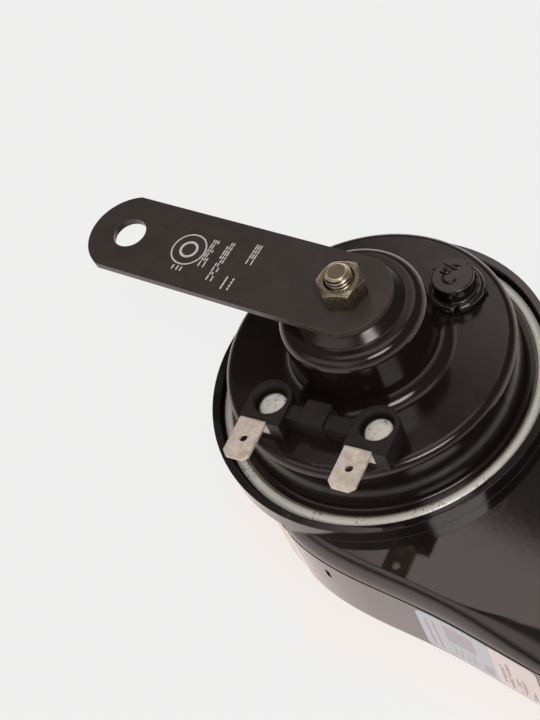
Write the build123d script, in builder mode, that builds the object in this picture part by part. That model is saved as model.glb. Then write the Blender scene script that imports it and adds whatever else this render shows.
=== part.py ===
from build123d import *
import os
from math import cos, radians, sin, sqrt

os.makedirs("parts", exist_ok=True)

# Snail horn for a vehicle, lying on its flat front face, in millimetres.
# Origin: where the drive unit's axis meets the front face.
# +Z runs up the drive unit's axis to the mounting stud, the bracket points to -X,
# and the trumpet's mouth opens to +X.

# ---------------------------------------------------------------- driving dimensions
# Trumpet, two moulded halves
shell_wall = 2.0
web_thickness = 2.7
parting_height = 21.3
panel_height = 26.8
rim_height = 30.7
rim_width = 1.7
cup_wall = 0.8
rim_skirt = 4.9
web_edge = 1.3
web_inset = 0.6
front_edge_radius = 2.4
mouth_reach = 78.0
mouth_bulge = 11.5
mouth_high_side = 9.5
parting_step = 0.1
crease_angle = 78.0
crease_steps = (0.0, 0.34, 0.68, 1.0)
throat_radius = 5.0
throat_cup_radius = 7.0
rib_thickness = 1.6
drain_slot_width = 1.3
drain_slot_height = 3.3
drain_slot_pos = (5.6, 15.6)

# Drive unit shell
housing_sheet = 0.8
housing_radius = 33.0
plateau_height = 42.8
plateau_edge_radius = 2.0
boss_radius = 16.3
boss_rise = 15.5
boss_edge_radius = 2.6
boss_foot_radius = 3.8
dish_radius = 12.1
pad_radius = 9.0
pad_rise = 2.1
flange_width = 3.9
flange_room = 1.4
flange_foot_radius = 0.9

# Clamped edge of the drive unit
crimp_sheet = 0.6
crimp_lip_width = 1.43
crimp_lip_sheet = 0.5
crimp_foot_reach = 0.5
crimp_round = (0.24, 0.18)
gasket_sheet = 0.25
lip_gasket_sheet = 0.14
lip_gasket_show = 0.67
diaphragm_sheet = 0.3
seal_height = 2.4
seal_width = 3.9
corrugation_reach = 9.0
corrugation_width = 4.0
corrugation_rise = 0.8
seal_sleeve_height = 1.4
fit_clearance = 0.1

# Electromagnet
stud_radius = 3.0
stud_show = 2.25
stud_chamfer = 0.8
core_radius = 6.5
core_drop = 5.4
bobbin_wall = 0.8
bobbin_flange = 1.0
bobbin_radius = 14.9
winding_radius = 13.3
retainer_sheet = 1.0
retainer_room = 11.4
armature_gap = 1.0
armature_thickness = 3.6
armature_radius = 11.5
armature_hub_radius = 5.5
armature_stem_radius = 2.5
armature_washer_radius = 6.5
armature_washer_sheet = 0.8
armature_nut_flats = 7.0
armature_nut_height = 1.9
pusher_radius = 1.6
pusher_reach = 9.4

# Breaker, built along the line from the axis to the adjusting screw
breaker_angle = 57.7
adjuster_room = 9.58
adjuster_screw_radius = 2.0
adjuster_screw_rise = 3.4
plug_radius = 4.85
plug_rise = 5.6
plug_flange_radius = 6.7
plug_flange_height = 1.9
plug_flange_round = 0.85
bracket_plate = 0.8
stack_room = 2.2
stack_depth = 4.4
stack_width = 10.0
upper_insulator_height = 2.6
blade_sheet = 0.25
middle_insulator_height = 2.2
fixed_arm_sheet = 0.8
lower_insulator_height = 0.8
blade_width = 4.0
contact_room = 14.4
contact_radius = 1.3
contact_gap = 0.05
moving_contact_height = 0.7
breaker_rivet_radius = 0.9
breaker_rivet_head = 1.6
breaker_rivet_spacing = 5.6

# Terminals
terminal_turn = 4.5
terminal_pitch = 25.6
terminal_mid = 0.5
terminal_room = 11.5
block_height = 5.8
block_depths = (6.1, 6.7)
block_boss_radius = 4.95
well_radius = 3.9
well_floor = 2.4
spigot_radius = 2.4
spigot_hole_clearance = 0.1
bridge_width = 5.8
bridge_back = 2.1
bridge_front = 3.5
link_front = 3.2
link_back = 0.3
link_drop = 0.8
tab_width = 6.3
tab_sheet = 0.8
tab_length = 9.6
tab_chamfer = 1.2
tab_hole_radius = 0.95
tab_hole_reach = 4.5
tab_offset = -1.35
tab_fold_outer = 0.9
tab_fold_inner = 0.2
foot_height = 0.8
rivet_radius = 1.6
rivet_head_radius = 3.3
rivet_head_height = 1.1
rivet_head_round = 0.77
rivet_tail_radius = 2.2
inner_plate_sheet = 0.8
lug_sheet = 0.4
lug_radius = 3.0
lug_reach = 5.2
lead_radius = 0.6
lead_drop = 1.5
coil_lead_reach = 11.0
coil_lead_turns = (-112.0, 12.0)
coil_lead_in_bend = (17.5, -118.7)
coil_lead_out_bends = [(11.0, -11.0), (21.1, -8.8)]
breaker_lead_turns = (-30.0, -5.0, 20.0)

# Mounting bracket and nut
leaf_sheet = 0.8
bracket_width = 20.5
bracket_end_radius = 11.0
bracket_far_centre = -57.65
bracket_near_centre = -0.9
bracket_hole_radius = 4.0
bracket_hole_reach = 58.46
stud_hole_clearance = 0.25
nut_flats = 10.0
nut_height = 5.1
nut_face = 9.5
nut_turn = 16.8
nut_countersink = 0.35

# Rating sticker on the long side of the front half
sticker_sheet = 0.12
sticker_start = 29.3
sticker_length = 29.6
sticker_low = 2.9
sticker_high = 20.7
sticker_corner = 2.0

# ---------------------------------------------------------------- worked-out heights and places
flange_radius = housing_radius + flange_width
cup_radius = flange_radius + flange_room
rim_radius = cup_radius + rim_width
web_top = parting_height + web_thickness
crimp_bottom = web_top + seal_height
crimp_floor_top = crimp_bottom + crimp_sheet
diaphragm_bottom = crimp_floor_top + gasket_sheet
diaphragm_top = diaphragm_bottom + diaphragm_sheet
flange_bottom = diaphragm_top + gasket_sheet
flange_top = flange_bottom + housing_sheet
lip_bottom = flange_top + lip_gasket_sheet
lip_top = lip_bottom + crimp_lip_sheet
crimp_inner_radius = flange_radius + fit_clearance
crimp_outer_radius = crimp_inner_radius + crimp_sheet
crimp_lip_radius = crimp_inner_radius - crimp_lip_width
crimp_foot_radius = housing_radius - crimp_foot_reach
lip_gasket_radius = crimp_lip_radius - lip_gasket_show
seal_inner_radius = cup_radius - seal_width
plateau_under = plateau_height - housing_sheet
boss_height = plateau_height + boss_rise
pad_height = boss_height + pad_rise
pad_under = pad_height - housing_sheet
boss_under = boss_height - housing_sheet
bracket_under = pad_height
bracket_mid = bracket_under + leaf_sheet
bracket_top = bracket_mid + leaf_sheet
nut_top = bracket_top + nut_height
stud_top = nut_top + stud_show
core_bottom = plateau_under - core_drop
armature_top = core_bottom - armature_gap
armature_bottom = armature_top - armature_thickness
block_top = plateau_height + block_height
cup_outer_radius = cup_radius + cup_wall
retainer_radius = housing_radius - retainer_room
adjuster_reach = housing_radius - adjuster_room
adjuster_pos = (adjuster_reach * cos(radians(breaker_angle)), adjuster_reach * sin(radians(breaker_angle)))
adjuster_screw_top = plateau_height + adjuster_screw_rise
plug_top = plateau_height + plug_rise
stack_start = housing_radius - stack_room - stack_depth
contact_reach = housing_radius - contact_room
terminal_row = terminal_room - housing_radius
block_fronts = [terminal_row - depth for depth in block_depths]

# Side of the trumpet, from the rim to the mouth: parting line and upper crease
rim_corner_angle = -96.6
rim_return_angle = 18.0
rim_corner = (rim_radius * cos(radians(rim_corner_angle)), rim_radius * sin(radians(rim_corner_angle)))
rim_return = (rim_radius * cos(radians(rim_return_angle)), rim_radius * sin(radians(rim_return_angle)))
side_bulge = [(5.1, 2.7), (13.5, 3.8), (26.2, 4.4), (38.5, 5.3), (50.8, 7.0), (60.2, 8.3)]
crease_bulge = [(-3.8, -1.6), (6.5, 0.1), (14.0, 0.9), (26.0, 1.5), (38.3, 2.3), (49.2, 1.6), (57.2, -0.2)]
side_line = [rim_corner] + [(x, -rim_radius - bulge) for x, bulge in side_bulge]
side_crease = [(x, -rim_radius - bulge) for x, bulge in crease_bulge]
# Coiled part of the front half: how far its outline lies inside the rim, clockwise from the arm
body_depths = [
    (-100.0, 0.9),
    (-108.0, 1.9),
    (-115.0, 3.0),
    (-122.0, 4.3),
    (-135.0, 6.0),
    (-160.0, 7.4),
    (-190.0, 8.0),
    (-225.0, 8.0),
    (-260.0, 7.4),
    (-290.0, 6.2),
    (-318.0, 3.8),
]
body_overlap_angle = 20.0
mouth_crease_low = -31.5
mouth_crease_high = -8.0
far_line = [(58.0, 6.5), rim_return]
far_crease = [(57.0, 0.5), (35.5, 9.5)]


def ring_at(radius, angle):
    """Point at a radius and an angle in degrees about the origin."""
    return (radius * cos(radians(angle)), radius * sin(radians(angle)))


def blend(first, second, share):
    """Points a share of the way from one list of points to another."""
    return [(a[0] + share * (b[0] - a[0]), a[1] + share * (b[1] - a[1])) for a, b in zip(first, second)]


def trumpet_face(height, share=0.0, inset=0.0, overrun=0.0):
    """Plan of the trumpet's arm at a height, a share of the way from the parting line to the crease.

    inset moves its long sides inwards, and overrun carries it on past the mouth.
    """
    low_side = blend(
        side_line + [(mouth_reach, -rim_radius - mouth_bulge)],
        side_crease + [(mouth_reach, mouth_crease_low)],
        share,
    )
    high_side = blend(
        [(mouth_reach, mouth_high_side)] + far_line,
        [(mouth_reach, mouth_crease_high)] + far_crease,
        share,
    )
    low = [(x, y + inset) for x, y in low_side]
    high = [(x, y - inset) for x, y in high_side]
    mouth = [low[-1], high[0]]
    if overrun > 0:
        mouth[1:1] = [(mouth_reach + overrun, low[-1][1]), (mouth_reach + overrun, high[0][1])]
    with BuildSketch(Plane.XY.offset(height)) as face:
        with BuildLine():
            Spline(*low)
            Polyline(*mouth)
            Spline(*high)
            Polyline(high[-1], (0, 0), low[0])
        make_face()
    return face.sketch


def body_face(inset=0.0):
    """Plan of the coiled part, clockwise from the arm's long side round to its short side."""
    turn = [ring_at(rim_radius - inset, rim_corner_angle)]
    turn += [ring_at(rim_radius - depth - inset, angle) for angle, depth in body_depths]
    turn.append(ring_at(rim_radius - inset, rim_return_angle))
    overlap = [
        ring_at(rim_radius / 2, rim_return_angle - body_overlap_angle),
        ring_at(rim_radius / 2, rim_corner_angle + body_overlap_angle),
    ]
    with BuildSketch() as face:
        with BuildLine():
            Spline(*turn)
            Polyline(turn[-1], *overlap, turn[0])
        make_face()
    return face.sketch


def trumpet_arm(top, inset=0.0, overrun=0.0):
    """Solid of the arm above the parting line: upright at the parting, rounded over to the crease."""
    rise = top - parting_height
    sections = []
    for step in crease_steps:
        angle = radians(crease_angle * step)
        share = (1 - cos(angle)) / (1 - cos(radians(crease_angle)))
        height = parting_height + rise * sin(angle) / sin(radians(crease_angle))
        sections.append(trumpet_face(height, share, inset, overrun))
    return loft(sections)


def wedge(first_angle, last_angle, reach):
    """Sector about the axis, from one angle round to another, as a sketch."""
    steps = [first_angle + (last_angle - first_angle) * i / 4 for i in range(5)]
    with BuildSketch() as sector:
        with BuildLine():
            Polyline((0, 0), *[ring_at(reach, angle) for angle in steps], close=True)
        make_face()
    return sector.sketch


def save(piece, name):
    """Label a finished piece and write it as its own file."""
    piece.part.label = name
    export_step(piece.part, f"parts/{name}.step")


def washer(name, inner_radius, outer_radius, bottom, top):
    """Flat ring about the axis."""
    with BuildPart() as ring:
        with BuildSketch(Plane.XY.offset(bottom)):
            Circle(outer_radius)
            Circle(inner_radius, mode=Mode.SUBTRACT)
        extrude(amount=top - bottom)
    save(ring, name)


# ---------------------------------------------------------------- trumpet, front half
arm_sector = wedge(rim_corner_angle, rim_return_angle, 2 * rim_radius)
septum_line = [
    (38.2, 10.6),
    (25.0, -3.0),
    (11.0, -13.0),
    (-5.0, -16.0),
    (-17.0, -9.5),
    (-20.5, 4.0),
    (-13.5, 17.0),
    (0.0, 23.0),
    (12.0, 20.5),
]
throat_gap_angles = (-150.0, -60.0)

with BuildPart() as front_half:
    with BuildSketch():
        add(body_face())
        add(trumpet_face(0))
    extrude(amount=parting_height)
    front_edges = front_half.faces().sort_by(Axis.Z)[0].edges()
    fillet(front_edges.filter_by_position(Axis.X, -rim_radius, mouth_reach - 1), radius=front_edge_radius)
    with BuildSketch(Plane.XY.offset(shell_wall)):
        add(body_face(inset=shell_wall))
        add(trumpet_face(0, inset=shell_wall, overrun=shell_wall))
    extrude(amount=parting_height, mode=Mode.SUBTRACT)
    # Septum that winds the channel round the axis, and the cup that guides sound out of the throat
    with BuildSketch(Plane.XY.offset(shell_wall)):
        with BuildLine() as septum:
            Spline(*septum_line)
        trace(line_width=rib_thickness)
    extrude(amount=parting_height - shell_wall)
    with BuildSketch(Plane.XY.offset(shell_wall)):
        Circle(throat_cup_radius + rib_thickness)
        Circle(throat_cup_radius, mode=Mode.SUBTRACT)
        add(wedge(*throat_gap_angles, 2 * rim_radius), mode=Mode.SUBTRACT)
    extrude(amount=parting_height - shell_wall)
    # Drain slot in the long side
    with BuildSketch(Plane.XZ.offset(-side_line[1][1] - 2 * shell_wall)):
        with Locations(drain_slot_pos):
            SlotOverall(drain_slot_height, drain_slot_width, rotation=90)
    extrude(amount=4 * shell_wall, mode=Mode.SUBTRACT)
save(front_half, "trumpet_front_half")

# ---------------------------------------------------------------- trumpet, back half
arm_cavity = trumpet_arm(panel_height - shell_wall, inset=shell_wall, overrun=shell_wall)

with BuildPart() as back_half:
    add(trumpet_arm(panel_height, inset=parting_step))
    add(arm_cavity, mode=Mode.SUBTRACT)
    # Web, then the cup that stands a little proud of it
    with BuildSketch(Plane.XY.offset(parting_height)):
        Circle(cup_outer_radius - web_inset)
    extrude(amount=web_thickness)
    with BuildSketch(Plane.XY.offset(parting_height + web_edge)):
        Circle(cup_outer_radius)
    extrude(amount=rim_height - parting_height - web_edge)
    with BuildSketch(Plane.XY.offset(parting_height)):
        Circle(rim_radius)
        add(arm_sector, mode=Mode.INTERSECT)
    extrude(amount=rim_height - parting_height)
    with BuildSketch(Plane.XY.offset(rim_height - rim_skirt)):
        Circle(rim_radius)
    extrude(amount=rim_skirt)
    with BuildSketch(Plane.XY.offset(web_top)):
        Circle(cup_radius)
    extrude(amount=rim_height, mode=Mode.SUBTRACT)
    with Locations((0, 0, web_top)):
        Hole(throat_radius)
save(back_half, "trumpet_back_half")

# ---------------------------------------------------------------- clamped edge of the drive unit
with BuildPart() as seal_ring:
    with BuildSketch(Plane.XZ):
        with BuildLine():
            Polyline(
                (seal_inner_radius, web_top),
                (cup_radius, web_top),
                (cup_radius, crimp_bottom + seal_sleeve_height),
                (crimp_outer_radius, crimp_bottom + seal_sleeve_height),
                (crimp_outer_radius, crimp_bottom),
                (seal_inner_radius, crimp_bottom),
                close=True,
            )
        make_face()
    revolve(axis=Axis.Z)
save(seal_ring, "seal_ring")

with BuildPart() as crimp_ring:
    with BuildSketch(Plane.XZ):
        with BuildLine():
            Polyline(
                (crimp_foot_radius, crimp_bottom),
                (crimp_outer_radius, crimp_bottom),
                (crimp_outer_radius, lip_top - crimp_sheet),
            )
            ThreePointArc(
                (crimp_outer_radius, lip_top - crimp_sheet),
                (crimp_inner_radius + crimp_round[0], lip_top - crimp_round[1]),
                (crimp_lip_radius, lip_top),
            )
            Polyline(
                (crimp_lip_radius, lip_top),
                (crimp_lip_radius, lip_bottom),
                (crimp_inner_radius, lip_bottom),
                (crimp_inner_radius, crimp_floor_top),
                (crimp_foot_radius, crimp_floor_top),
                (crimp_foot_radius, crimp_bottom),
            )
        make_face()
    revolve(axis=Axis.Z)
save(crimp_ring, "crimp_ring")

washer("lower_gasket", crimp_foot_radius, flange_radius, crimp_floor_top, diaphragm_bottom)
washer("upper_gasket", housing_radius, flange_radius, diaphragm_top, flange_bottom)
washer("lip_gasket", lip_gasket_radius, flange_radius, flange_top, lip_bottom)

# Diaphragm: a thin steel disc with one raised ring, clamped at its edge and by the armature
corrugation_outer = housing_radius - corrugation_reach
corrugation_inner = corrugation_outer - corrugation_width
with BuildPart() as diaphragm:
    with BuildSketch(Plane.XZ):
        with BuildLine():
            Polyline(
                (armature_stem_radius, diaphragm_bottom),
                (corrugation_inner, diaphragm_bottom),
                (corrugation_inner + corrugation_rise, diaphragm_bottom + corrugation_rise),
                (corrugation_outer - corrugation_rise, diaphragm_bottom + corrugation_rise),
                (corrugation_outer, diaphragm_bottom),
                (flange_radius, diaphragm_bottom),
                (flange_radius, diaphragm_top),
                (corrugation_outer, diaphragm_top),
                (corrugation_outer - corrugation_rise, diaphragm_top + corrugation_rise),
                (corrugation_inner + corrugation_rise, diaphragm_top + corrugation_rise),
                (corrugation_inner, diaphragm_top),
                (armature_stem_radius, diaphragm_top),
                close=True,
            )
        make_face()
    revolve(axis=Axis.Z)
save(diaphragm, "diaphragm")

# ---------------------------------------------------------------- drive unit shell
terminal_plane = Plane.XY.rotated((0, 0, terminal_turn))
rivet_row = [(terminal_mid + turn * terminal_pitch / 2, terminal_row) for turn in (-1, 1)]

# Plateau and boss as a plain solid, to trim what sits against the shell
with BuildPart() as shell_form:
    with BuildSketch(Plane.XY.offset(plateau_under)):
        Circle(housing_radius)
    extrude(amount=housing_sheet)
    with BuildSketch(Plane.XY.offset(plateau_height)):
        Circle(boss_radius)
    extrude(amount=boss_height - plateau_height)
    boss_foot = shell_form.edges().filter_by(GeomType.CIRCLE).sort_by(SortBy.RADIUS)[:2].sort_by(Axis.Z)[0]
    fillet(boss_foot, radius=boss_foot_radius)

with BuildPart() as housing:
    with BuildSketch(Plane.XZ):
        with BuildLine():
            outside = FilletPolyline(
                (flange_radius, flange_top),
                (housing_radius, flange_top),
                (housing_radius, plateau_height),
                (boss_radius, plateau_height),
                (boss_radius, boss_height),
                (dish_radius, boss_height),
                (pad_radius, pad_height),
                (stud_radius + stud_hole_clearance, pad_height),
                radius=[
                    flange_foot_radius,
                    plateau_edge_radius,
                    boss_foot_radius,
                    boss_edge_radius,
                    housing_sheet,
                    housing_sheet,
                ],
            )
            offset(outside, amount=housing_sheet, side=Side.LEFT)
        make_face()
    revolve(axis=Axis.Z)
    with BuildSketch(Plane.XY.offset(plateau_under)):
        with Locations(adjuster_pos):
            Circle(adjuster_screw_radius)
    extrude(amount=housing_sheet, mode=Mode.SUBTRACT)
    with BuildSketch(terminal_plane.offset(plateau_under)):
        with Locations(rivet_row):
            Circle(spigot_radius + spigot_hole_clearance)
    extrude(amount=housing_sheet, mode=Mode.SUBTRACT)
save(housing, "motor_housing")

# ---------------------------------------------------------------- electromagnet
# Pole core, turned in one piece with the mounting stud
with BuildPart() as pole_core:
    with BuildSketch(Plane.XZ):
        with BuildLine():
            Polyline(
                (0, core_bottom),
                (core_radius, core_bottom),
                (core_radius, pad_under),
                (stud_radius, pad_under),
                (stud_radius, stud_top - stud_chamfer),
                (stud_radius - stud_chamfer, stud_top),
                (0, stud_top),
                close=True,
            )
        make_face()
    revolve(axis=Axis.Z)
save(pole_core, "pole_core")

bobbin_bottom = plateau_under
bobbin_top = boss_under - fit_clearance
bobbin_inner_radius = core_radius + fit_clearance
bobbin_tube_radius = bobbin_inner_radius + bobbin_wall
coil_ends = [ring_at(coil_lead_reach, turn) for turn in coil_lead_turns]
with BuildPart() as bobbin:
    with BuildSketch(Plane.XY.offset(bobbin_bottom)):
        Circle(bobbin_radius)
    extrude(amount=bobbin_flange)
    with BuildSketch(Plane.XY.offset(bobbin_bottom)):
        Circle(bobbin_tube_radius)
    extrude(amount=bobbin_top - bobbin_bottom)
    with BuildSketch(Plane.XY.offset(bobbin_top - bobbin_flange)):
        Circle(boss_radius - boss_edge_radius)
    extrude(amount=bobbin_flange)
    with Locations((0, 0, bobbin_top)):
        Hole(bobbin_inner_radius)
    with BuildSketch(Plane.XY.offset(bobbin_bottom)):
        with Locations(coil_ends):
            Circle(2 * lead_radius)
    extrude(amount=bobbin_flange, mode=Mode.SUBTRACT)
save(bobbin, "coil_bobbin")

washer(
    "coil_winding",
    bobbin_tube_radius,
    winding_radius,
    bobbin_bottom + bobbin_flange,
    bobbin_top - bobbin_flange,
)

# Retainer plate under the coil, cut away round the adjusting screw
with BuildPart() as retainer:
    with BuildSketch(Plane.XY.offset(plateau_under - retainer_sheet)):
        Circle(retainer_radius)
        Circle(core_radius + fit_clearance, mode=Mode.SUBTRACT)
        with Locations(adjuster_pos):
            Circle(2 * adjuster_screw_radius, mode=Mode.SUBTRACT)
        with Locations(coil_ends):
            Circle(2 * lead_radius, mode=Mode.SUBTRACT)
    extrude(amount=retainer_sheet)
save(retainer, "coil_retainer")

# Armature on the diaphragm's centre, with its stem, washer and nut below
armature_washer_bottom = diaphragm_bottom - armature_washer_sheet
armature_nut_bottom = armature_washer_bottom - armature_nut_height
breaker_plane = Plane.XY.rotated((0, 0, breaker_angle))
with BuildPart() as armature:
    with BuildSketch(Plane.XZ):
        with BuildLine():
            Polyline(
                (0, armature_nut_bottom),
                (armature_stem_radius, armature_nut_bottom),
                (armature_stem_radius, diaphragm_top),
                (armature_hub_radius, diaphragm_top),
                (armature_hub_radius, armature_bottom),
                (armature_radius, armature_bottom),
                (armature_radius, armature_top),
                (0, armature_top),
                close=True,
            )
        make_face()
    revolve(axis=Axis.Z)
save(armature, "armature")

washer(
    "armature_washer",
    armature_stem_radius,
    armature_washer_radius,
    armature_washer_bottom,
    diaphragm_bottom,
)

with BuildPart() as armature_nut:
    with BuildSketch(Plane.XY.offset(armature_nut_bottom)):
        RegularPolygon(armature_nut_flats / 2, 6, major_radius=False)
        Circle(armature_stem_radius, mode=Mode.SUBTRACT)
    extrude(amount=armature_nut_height)
save(armature_nut, "armature_nut")

# ---------------------------------------------------------------- breaker
# Heights of the stack, from the plate under the plateau downwards
plate_bottom = plateau_under - bracket_plate
blade_top = plate_bottom - upper_insulator_height
blade_bottom = blade_top - blade_sheet
fixed_arm_top = blade_bottom - middle_insulator_height
fixed_arm_bottom = fixed_arm_top - fixed_arm_sheet
stack_bottom = fixed_arm_bottom - lower_insulator_height
stack_middle = stack_start + stack_depth / 2
rivet_places = [(stack_middle, -breaker_rivet_spacing / 2), (stack_middle, breaker_rivet_spacing / 2)]


def stack_layer(name, bottom, top, reach=0.0, width=0.0, cut=None):
    """Layer of the breaker's stack, with an arm from it towards the axis and an opening for the screw."""
    with BuildPart() as layer:
        with BuildSketch(breaker_plane.offset(bottom)):
            with Locations((stack_middle, 0)):
                Rectangle(stack_depth, stack_width)
            if reach:
                with Locations(((stack_middle + reach) / 2, 0)):
                    Rectangle(stack_middle - reach, width)
            if cut:
                with Locations((adjuster_reach, 0)):
                    Circle(cut + blade_width / 4)
                    Circle(cut, mode=Mode.SUBTRACT)
            with Locations(rivet_places):
                Circle(breaker_rivet_radius, mode=Mode.SUBTRACT)
        extrude(amount=top - bottom)
    save(layer, name)


stack_layer("breaker_plate", plate_bottom, plateau_under)
stack_layer("upper_insulator", blade_top, plate_bottom)
stack_layer(
    "contact_blade",
    blade_bottom,
    blade_top,
    reach=pusher_reach - pusher_radius,
    width=blade_width,
    cut=adjuster_screw_radius + 4 * fit_clearance,
)
stack_layer("middle_insulator", fixed_arm_top, blade_bottom)
stack_layer(
    "fixed_arm",
    fixed_arm_bottom,
    fixed_arm_top,
    reach=contact_reach - 1.5 * contact_radius,
    width=blade_width + 2 * housing_sheet,
)
stack_layer("lower_insulator", stack_bottom, fixed_arm_bottom)

with BuildPart() as breaker_rivets:
    with BuildSketch(breaker_plane.offset(stack_bottom)):
        with Locations(rivet_places):
            Circle(breaker_rivet_radius)
    extrude(amount=plateau_under - stack_bottom)
    with BuildSketch(breaker_plane.offset(stack_bottom - breaker_rivet_radius)):
        with Locations(rivet_places):
            Circle(breaker_rivet_head)
    extrude(amount=breaker_rivet_radius)
save(breaker_rivets, "breaker_rivets")


def contact_point(name, bottom, top):
    """Small round contact on the breaker's line."""
    with BuildPart() as point:
        with BuildSketch(breaker_plane.offset(bottom)):
            with Locations((contact_reach, 0)):
                Circle(contact_radius)
        extrude(amount=top - bottom)
    save(point, name)


moving_contact_bottom = blade_bottom - moving_contact_height
contact_point("moving_contact", moving_contact_bottom, blade_bottom)
contact_point("fixed_contact", fixed_arm_top, moving_contact_bottom - contact_gap)

# Insulating pin on the armature that lifts the blade
with BuildPart() as pusher:
    with BuildSketch(breaker_plane.offset(armature_top)):
        with Locations((pusher_reach, 0)):
            Circle(pusher_radius)
    extrude(amount=blade_bottom - contact_gap - armature_top)
save(pusher, "pusher_pin")

with BuildPart() as adjusting_screw:
    with BuildSketch(Plane.XY.offset(fixed_arm_top)):
        with Locations(adjuster_pos):
            Circle(adjuster_screw_radius)
    extrude(amount=adjuster_screw_top - fixed_arm_top)
save(adjusting_screw, "adjusting_screw")

with BuildPart() as adjuster_plug:
    with BuildSketch(Plane.XY.offset(plateau_height)):
        with Locations(adjuster_pos):
            Circle(plug_flange_radius)
    extrude(amount=plug_flange_height)
    fillet(adjuster_plug.edges().group_by(Axis.Z)[-1], radius=plug_flange_round)
    with BuildSketch(Plane.XY.offset(plateau_height)):
        with Locations(adjuster_pos):
            Circle(plug_radius)
    extrude(amount=plug_top - plateau_height)
    with BuildSketch(Plane.XY.offset(plateau_height)):
        with Locations(adjuster_pos):
            Circle(adjuster_screw_radius)
    extrude(amount=adjuster_screw_top - plateau_height, mode=Mode.SUBTRACT)
    add(shell_form.part, mode=Mode.SUBTRACT)
save(adjuster_plug, "adjuster_plug")

# ---------------------------------------------------------------- terminals
# Block: two round bosses with straight fronts, joined by links and a bridge
foot_bottom = plateau_height + foot_height
well_bottom = plateau_height + well_floor
tab_bottom = block_top - tab_sheet
boss_side = block_boss_radius
foot_back = terminal_row + well_radius
tab_middles = [x + tab_offset for x, y in rivet_row]

with BuildPart() as terminal_block:
    with BuildSketch(terminal_plane.offset(plateau_height)):
        for (x, y), front in zip(rivet_row, block_fronts):
            with Locations((x, y)):
                Circle(boss_side)
            with Locations((x, (y + front) / 2)):
                Rectangle(2 * boss_side, y - front)
        with Locations((terminal_mid - bridge_width / 4, terminal_row + (bridge_back - bridge_front) / 2)):
            Rectangle(bridge_width, bridge_back + bridge_front)
    extrude(amount=block_height)
    with BuildSketch(terminal_plane.offset(plateau_height)):
        with Locations((terminal_mid, terminal_row - (link_front - link_back) / 2)):
            Rectangle(terminal_pitch - boss_side, link_front + link_back)
    extrude(amount=block_height - link_drop)
    with BuildSketch(terminal_plane.offset(well_bottom)):
        with Locations(rivet_row):
            Circle(well_radius)
    extrude(amount=block_height, mode=Mode.SUBTRACT)
    # Spigots that keep the rivets clear of the shell
    with BuildSketch(terminal_plane.offset(plateau_under)):
        with Locations(rivet_row):
            Circle(spigot_radius)
    extrude(amount=housing_sheet + foot_height)
    with BuildSketch(terminal_plane.offset(plateau_under)):
        with Locations(rivet_row):
            Circle(rivet_radius)
    extrude(amount=block_height, mode=Mode.SUBTRACT)
    # Slots for the feet of the tabs, and recesses in the front for their legs
    with BuildSketch(terminal_plane.offset(foot_bottom)):
        for tab_x, front in zip(tab_middles, block_fronts):
            with Locations((tab_x, (foot_back + front) / 2)):
                Rectangle(tab_width, foot_back - front)
    extrude(amount=tab_sheet, mode=Mode.SUBTRACT)
    with BuildSketch(terminal_plane.offset(foot_bottom)):
        for tab_x, front in zip(tab_middles, block_fronts):
            with Locations((tab_x, front + tab_sheet / 2)):
                Rectangle(tab_width, tab_sheet)
    extrude(amount=block_height, mode=Mode.SUBTRACT)
    # Relief over the curved foot of the boss
    with BuildSketch(Plane.XY.offset(plateau_height)):
        Circle(boss_radius + boss_foot_radius)
    extrude(amount=foot_height, mode=Mode.SUBTRACT)
save(terminal_block, "terminal_block")


def fold_edges(tab, tab_x, fold_y, fold_z):
    """The edges that lie along one of a tab's folds, at a place across the block's front."""
    fold = terminal_plane.from_local_coords((tab_x, fold_y, fold_z))
    return [edge for edge in tab.edges() if (edge.center() - fold).length < fit_clearance]


def terminal_tab(name, rivet_place, tab_x, front):
    """Blade terminal: a foot under the rivet, a leg up the block's front and a blade folded outwards."""
    blade_tip = front - tab_length
    with BuildPart() as tab:
        with BuildSketch(terminal_plane.offset(foot_bottom)):
            with Locations((tab_x, (foot_back + front) / 2)):
                Rectangle(tab_width, foot_back - front)
            with Locations(rivet_place):
                Circle(rivet_radius, mode=Mode.SUBTRACT)
        extrude(amount=tab_sheet)
        with BuildSketch(terminal_plane.offset(foot_bottom)):
            with Locations((tab_x, front + tab_sheet / 2)):
                Rectangle(tab_width, tab_sheet)
        extrude(amount=block_top - foot_bottom)
        with BuildSketch(terminal_plane.offset(tab_bottom)):
            with BuildLine():
                left = tab_x - tab_width / 2
                right = tab_x + tab_width / 2
                Polyline(
                    (left, front + tab_sheet),
                    (left, blade_tip + tab_chamfer),
                    (left + tab_chamfer, blade_tip),
                    (right - tab_chamfer, blade_tip),
                    (right, blade_tip + tab_chamfer),
                    (right, front + tab_sheet),
                    close=True,
                )
            make_face()
            with Locations((tab_x, front - tab_hole_reach)):
                Circle(tab_hole_radius, mode=Mode.SUBTRACT)
        extrude(amount=tab_sheet)
        fillet(fold_edges(tab, tab_x, front, foot_bottom), radius=tab_fold_outer)
        fillet(fold_edges(tab, tab_x, front + tab_sheet, block_top), radius=tab_fold_outer)
        fillet(fold_edges(tab, tab_x, front, tab_bottom), radius=tab_fold_inner)
    save(tab, name)


terminal_tab("terminal_left", rivet_row[0], tab_middles[0], block_fronts[0])
terminal_tab("terminal_right", rivet_row[1], tab_middles[1], block_fronts[1])

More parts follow.
